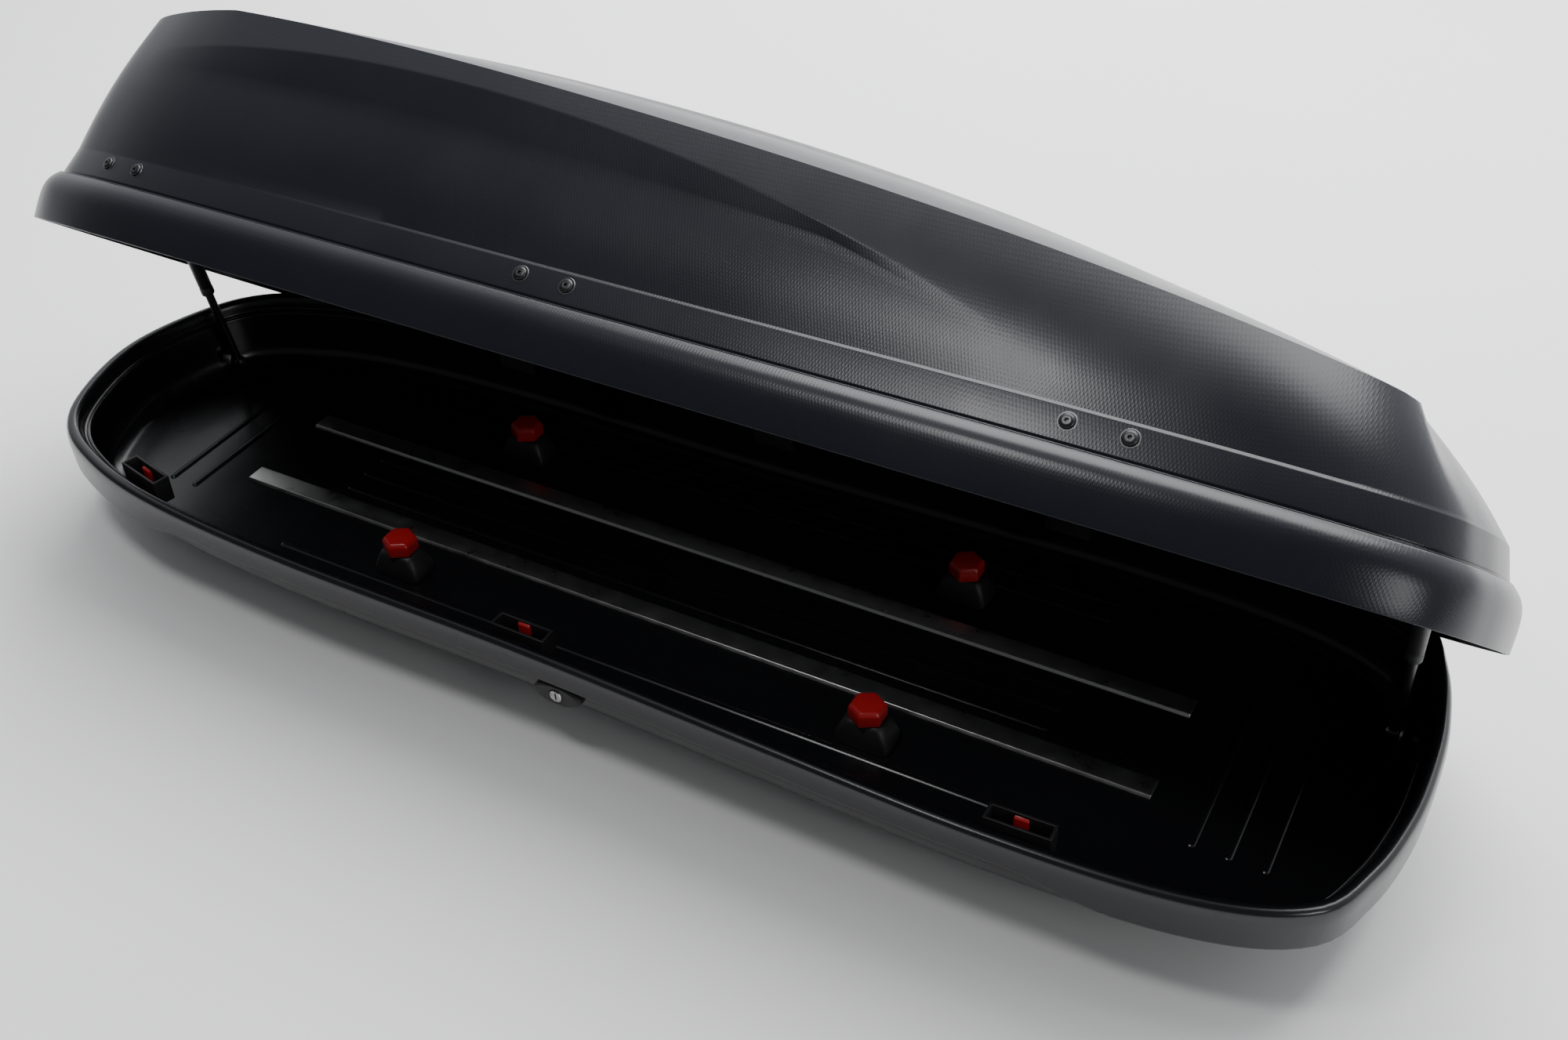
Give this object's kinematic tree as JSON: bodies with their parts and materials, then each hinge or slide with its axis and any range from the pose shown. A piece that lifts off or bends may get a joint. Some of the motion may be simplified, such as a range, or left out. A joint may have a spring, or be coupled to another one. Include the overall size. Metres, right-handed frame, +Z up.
{
  "type": "roof cargo box",
  "caption": "Slim hard-shell roof cargo box with a side-hinged lid propped open on two telescopic stays, key lock, catches and roof-bar clamps.",
  "frame": {"origin": "centre of the tray's flat underside", "axes": "+X along the box towards its tail, -Y the side that opens, +Z up"},
  "size_m": [1.8964, 0.7126, 0.676],
  "materials": {
    "tray_abs": "satin to semi-gloss moulded plastic",
    "lid_abs": "matt, fine diagonal grain",
    "black_nylon": "moulded, matt",
    "red_nylon": "moulded, semi-gloss",
    "green_label": "printed sleeve",
    "zinc_steel": "zinc plated",
    "dark_steel": "black passivated"
  },
  "bodies": {
    "tray": {"tray_shell": "tray_abs", "hinge_tray_leaf_front": "dark_steel", "hinge_tray_leaf_middle": "dark_steel", "hinge_tray_leaf_rear": "dark_steel", "hinge_pin_front": "zinc_steel", "hinge_pin_middle": "zinc_steel", "hinge_pin_rear": "zinc_steel", "catch_housing_front": "black_nylon", "catch_housing_middle": "black_nylon", "catch_housing_rear": "black_nylon", "lock_escutcheon": "black_nylon", "clamp_base_front_near": "black_nylon", "clamp_base_front_far": "black_nylon", "clamp_base_rear_near": "black_nylon", "clamp_base_rear_far": "black_nylon", "clamp_cover_front_near": "black_nylon", "clamp_cover_front_far": "black_nylon", "clamp_cover_rear_near": "black_nylon", "clamp_cover_rear_far": "black_nylon", "stay_foot_front": "zinc_steel", "stay_foot_rear": "zinc_steel", "floor_rail_near": "zinc_steel", "floor_rail_far": "zinc_steel"},
    "lid": {"lid_shell": "lid_abs", "hinge_lid_leaf_front": "dark_steel", "hinge_lid_leaf_middle": "dark_steel", "hinge_lid_leaf_rear": "dark_steel", "lid_screw_front_1": "dark_steel", "lid_screw_front_2": "dark_steel", "lid_screw_middle_1": "dark_steel", "lid_screw_middle_2": "dark_steel", "lid_screw_rear_1": "dark_steel", "lid_screw_rear_2": "dark_steel", "lid_striker_front": "black_nylon", "lid_striker_middle": "black_nylon", "lid_striker_rear": "black_nylon", "stay_bracket_front": "zinc_steel", "stay_bracket_rear": "zinc_steel"},
    "stay_lower_front": {"stay_rod_front": "dark_steel"},
    "stay_lower_rear": {"stay_rod_rear": "dark_steel"},
    "stay_upper_front": {"stay_sleeve_front": "black_nylon", "stay_label_front": "green_label"},
    "stay_upper_rear": {"stay_sleeve_rear": "black_nylon", "stay_label_rear": "green_label"},
    "latch_bar": {"lock_bar": "zinc_steel", "catch_tab_front": "red_nylon", "catch_tab_middle": "red_nylon", "catch_tab_rear": "red_nylon"},
    "lock_barrel": {"lock_cylinder": "zinc_steel", "lock_cam": "dark_steel"},
    "claw_front_near": {"clamp_claw_front_near": "black_nylon"},
    "claw_front_far": {"clamp_claw_front_far": "black_nylon"},
    "claw_rear_near": {"clamp_claw_rear_near": "black_nylon"},
    "claw_rear_far": {"clamp_claw_rear_far": "black_nylon"},
    "knob_front_near": {"clamp_knob_front_near": "red_nylon"},
    "knob_front_far": {"clamp_knob_front_far": "red_nylon"},
    "knob_rear_near": {"clamp_knob_rear_near": "red_nylon"},
    "knob_rear_far": {"clamp_knob_rear_far": "red_nylon"}
  },
  "joints": [
    {"name": "lid_hinge", "type": "hinge", "parent": "tray", "child": "lid", "pos_m": [0, 0.25229, 0.104], "axis": [1, 0, 0], "range_deg": [0, 40]},
    {"name": "stay_swing_front", "type": "hinge", "parent": "tray", "child": "stay_lower_front", "pos_m": [-0.834, 0.11, 0.031], "axis": [1, 0, 0], "range_deg": [0, 41.5]},
    {"name": "stay_slide_front", "type": "slide", "parent": "stay_lower_front", "child": "stay_upper_front", "axis": [0, -0.1652, 0.9863], "range_m": [-0.1101, 0]},
    {"name": "stay_swing_rear", "type": "hinge", "parent": "tray", "child": "stay_lower_rear", "pos_m": [0.85803, 0.11, 0.031], "axis": [1, 0, 0], "range_deg": [0, 41.5]},
    {"name": "stay_slide_rear", "type": "slide", "parent": "stay_lower_rear", "child": "stay_upper_rear", "axis": [0, -0.1652, 0.9863], "range_m": [-0.1101, 0]},
    {"name": "latch_slide", "type": "slide", "parent": "tray", "child": "latch_bar", "axis": [1, 0, 0], "range_m": [0, 0.008]},
    {"name": "lock_turn", "type": "hinge", "parent": "tray", "child": "lock_barrel", "pos_m": [0, -0.26523, 0.042], "axis": [0, -1, 0], "range_deg": [0, 90.5]},
    {"name": "knob_turn_front_near", "type": "hinge", "parent": "tray", "child": "knob_front_near", "pos_m": [-0.33, -0.14, 0.04], "axis": [0, 0, 1], "range_deg": [0, 360]},
    {"name": "claw_slide_front_near", "type": "slide", "parent": "tray", "child": "claw_front_near", "axis": [-1, 0, 0], "range_m": [0, 0.0121]},
    {"name": "knob_turn_front_far", "type": "hinge", "parent": "tray", "child": "knob_front_far", "pos_m": [-0.33, 0.14, 0.04], "axis": [0, 0, 1], "range_deg": [0, 360]},
    {"name": "claw_slide_front_far", "type": "slide", "parent": "tray", "child": "claw_front_far", "axis": [-1, 0, 0], "range_m": [0, 0.0121]},
    {"name": "knob_turn_rear_near", "type": "hinge", "parent": "tray", "child": "knob_rear_near", "pos_m": [0.33, -0.14, 0.04], "axis": [0, 0, 1], "range_deg": [0, 360]},
    {"name": "claw_slide_rear_near", "type": "slide", "parent": "tray", "child": "claw_rear_near", "axis": [-1, 0, 0], "range_m": [0, 0.0121]},
    {"name": "knob_turn_rear_far", "type": "hinge", "parent": "tray", "child": "knob_rear_far", "pos_m": [0.33, 0.14, 0.04], "axis": [0, 0, 1], "range_deg": [0, 360]},
    {"name": "claw_slide_rear_far", "type": "slide", "parent": "tray", "child": "claw_rear_far", "axis": [-1, 0, 0], "range_m": [0, 0.0121]}
  ],
  "couplings": [
    {"joint": "stay_swing_front", "follows": "lid_hinge", "ratio": 1.0301},
    {"joint": "stay_slide_front", "follows": "lid_hinge", "m_per_rad": -0.1565},
    {"joint": "stay_swing_rear", "follows": "lid_hinge", "ratio": 1.0301},
    {"joint": "stay_slide_rear", "follows": "lid_hinge", "m_per_rad": -0.1565},
    {"joint": "lock_turn", "follows": "latch_slide", "rad_per_m": 196.35},
    {"joint": "claw_slide_front_near", "follows": "knob_turn_front_near", "m_per_rad": 0.0019099},
    {"joint": "claw_slide_front_far", "follows": "knob_turn_front_far", "m_per_rad": 0.0019099},
    {"joint": "claw_slide_rear_near", "follows": "knob_turn_rear_near", "m_per_rad": 0.0019099},
    {"joint": "claw_slide_rear_far", "follows": "knob_turn_rear_far", "m_per_rad": 0.0019099}
  ]
}
